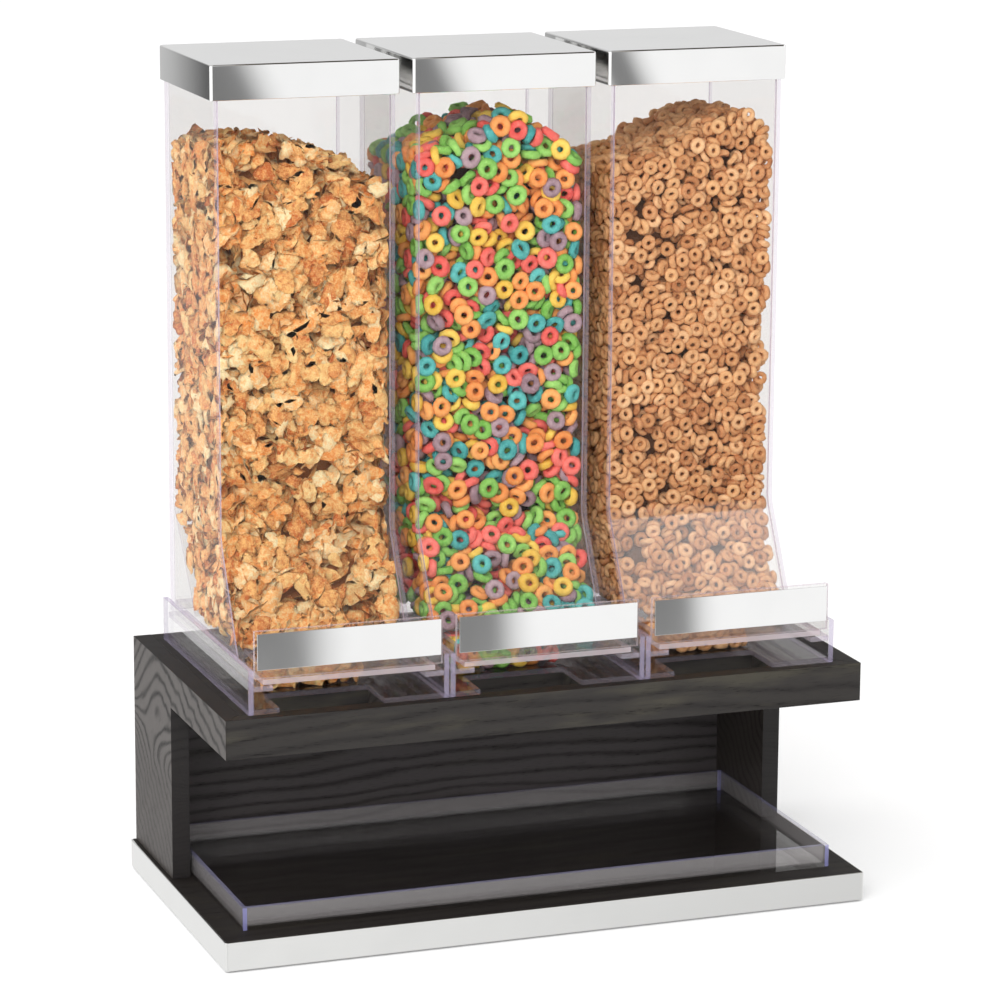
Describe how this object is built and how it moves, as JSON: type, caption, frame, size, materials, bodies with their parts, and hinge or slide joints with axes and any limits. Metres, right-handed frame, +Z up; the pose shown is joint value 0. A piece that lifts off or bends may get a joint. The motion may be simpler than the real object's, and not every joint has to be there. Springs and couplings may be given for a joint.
{
  "type": "gravity bulk food bin",
  "caption": "Gravity food dispenser: tall clear bins with steel lids and pull-out portion slides, on a C-shaped wooden stand with a crumb tray on its base.",
  "frame": {"origin": "on the surface it stands on, under the middle of the base", "axes": "+X to the user's right, +Y to the back, +Z up; the handles face -Y"},
  "size_m": [0.49, 0.254, 0.622],
  "materials": {
    "dark_oak": "open-pored oak, stained near-black, satin",
    "polished_steel": "stainless sheet, bright polished",
    "clear_acrylic": "clear, polished faces, faint lilac edges",
    "lid_gasket": "translucent white silicone",
    "foot_rubber": "matt black",
    "screw_steel": "zinc plated",
    "corn_flakes": "matt toasted flakes; visual filling only",
    "coloured_rings": "matt crumbly rings in six colours; visual filling only",
    "oat_rings": "matt toasted rings; visual filling only"
  },
  "bodies": {
    "stand": {"end_panel_left": "dark_oak", "end_panel_right": "dark_oak", "top_board": "dark_oak", "front_apron": "dark_oak", "back_panel": "dark_oak", "base_board": "dark_oak", "base_band": "polished_steel", "feet": "foot_rubber", "stand_screws": "screw_steel", "bay_1_floor": "clear_acrylic", "bay_1_wall_left": "clear_acrylic", "bay_1_wall_right": "clear_acrylic", "bay_1_rails": "clear_acrylic", "bay_2_floor": "clear_acrylic", "bay_2_wall_left": "clear_acrylic", "bay_2_wall_right": "clear_acrylic", "bay_2_rails": "clear_acrylic", "bay_3_floor": "clear_acrylic", "bay_3_wall_left": "clear_acrylic", "bay_3_wall_right": "clear_acrylic", "bay_3_rails": "clear_acrylic"},
    "crumb_tray": {"crumb_tray": "clear_acrylic"},
    "portion_slide_1": {"slide_1_plate": "clear_acrylic", "slide_1_chamber": "clear_acrylic", "slide_1_handle": "clear_acrylic", "slide_1_facing": "polished_steel"},
    "bin_1": {"bin_1_front": "clear_acrylic", "bin_1_side_left": "clear_acrylic", "bin_1_side_right": "clear_acrylic", "bin_1_back": "clear_acrylic", "bin_1_ramp": "clear_acrylic", "bin_1_floor": "clear_acrylic"},
    "lid_1": {"lid_1_cover": "polished_steel", "lid_1_gasket": "lid_gasket"},
    "portion_slide_2": {"slide_2_plate": "clear_acrylic", "slide_2_chamber": "clear_acrylic", "slide_2_handle": "clear_acrylic", "slide_2_facing": "polished_steel"},
    "bin_2": {"bin_2_front": "clear_acrylic", "bin_2_side_left": "clear_acrylic", "bin_2_side_right": "clear_acrylic", "bin_2_back": "clear_acrylic", "bin_2_ramp": "clear_acrylic", "bin_2_floor": "clear_acrylic"},
    "lid_2": {"lid_2_cover": "polished_steel", "lid_2_gasket": "lid_gasket"},
    "portion_slide_3": {"slide_3_plate": "clear_acrylic", "slide_3_chamber": "clear_acrylic", "slide_3_handle": "clear_acrylic", "slide_3_facing": "polished_steel"},
    "bin_3": {"bin_3_front": "clear_acrylic", "bin_3_side_left": "clear_acrylic", "bin_3_side_right": "clear_acrylic", "bin_3_back": "clear_acrylic", "bin_3_ramp": "clear_acrylic", "bin_3_floor": "clear_acrylic"},
    "lid_3": {"lid_3_cover": "polished_steel", "lid_3_gasket": "lid_gasket"}
  },
  "joints": [
    {"name": "crumb_tray_pull", "type": "slide", "parent": "stand", "child": "crumb_tray", "axis": [0, -1, 0], "range_m": [0, 0.23]},
    {"name": "portion_slide_1_pull", "type": "slide", "parent": "stand", "child": "portion_slide_1", "axis": [0, -1, 0], "range_m": [0, 0.0426]},
    {"name": "bin_1_lift", "type": "slide", "parent": "stand", "child": "bin_1", "axis": [0, 0, 1], "range_m": [0, 0.05]},
    {"name": "lid_1_lift", "type": "slide", "parent": "bin_1", "child": "lid_1", "axis": [0, 0, 1], "range_m": [0, 0.04]},
    {"name": "portion_slide_2_pull", "type": "slide", "parent": "stand", "child": "portion_slide_2", "axis": [0, -1, 0], "range_m": [0, 0.0426]},
    {"name": "bin_2_lift", "type": "slide", "parent": "stand", "child": "bin_2", "axis": [0, 0, 1], "range_m": [0, 0.05]},
    {"name": "lid_2_lift", "type": "slide", "parent": "bin_2", "child": "lid_2", "axis": [0, 0, 1], "range_m": [0, 0.04]},
    {"name": "portion_slide_3_pull", "type": "slide", "parent": "stand", "child": "portion_slide_3", "axis": [0, -1, 0], "range_m": [0, 0.0426]},
    {"name": "bin_3_lift", "type": "slide", "parent": "stand", "child": "bin_3", "axis": [0, 0, 1], "range_m": [0, 0.05]},
    {"name": "lid_3_lift", "type": "slide", "parent": "bin_3", "child": "lid_3", "axis": [0, 0, 1], "range_m": [0, 0.04]}
  ]
}
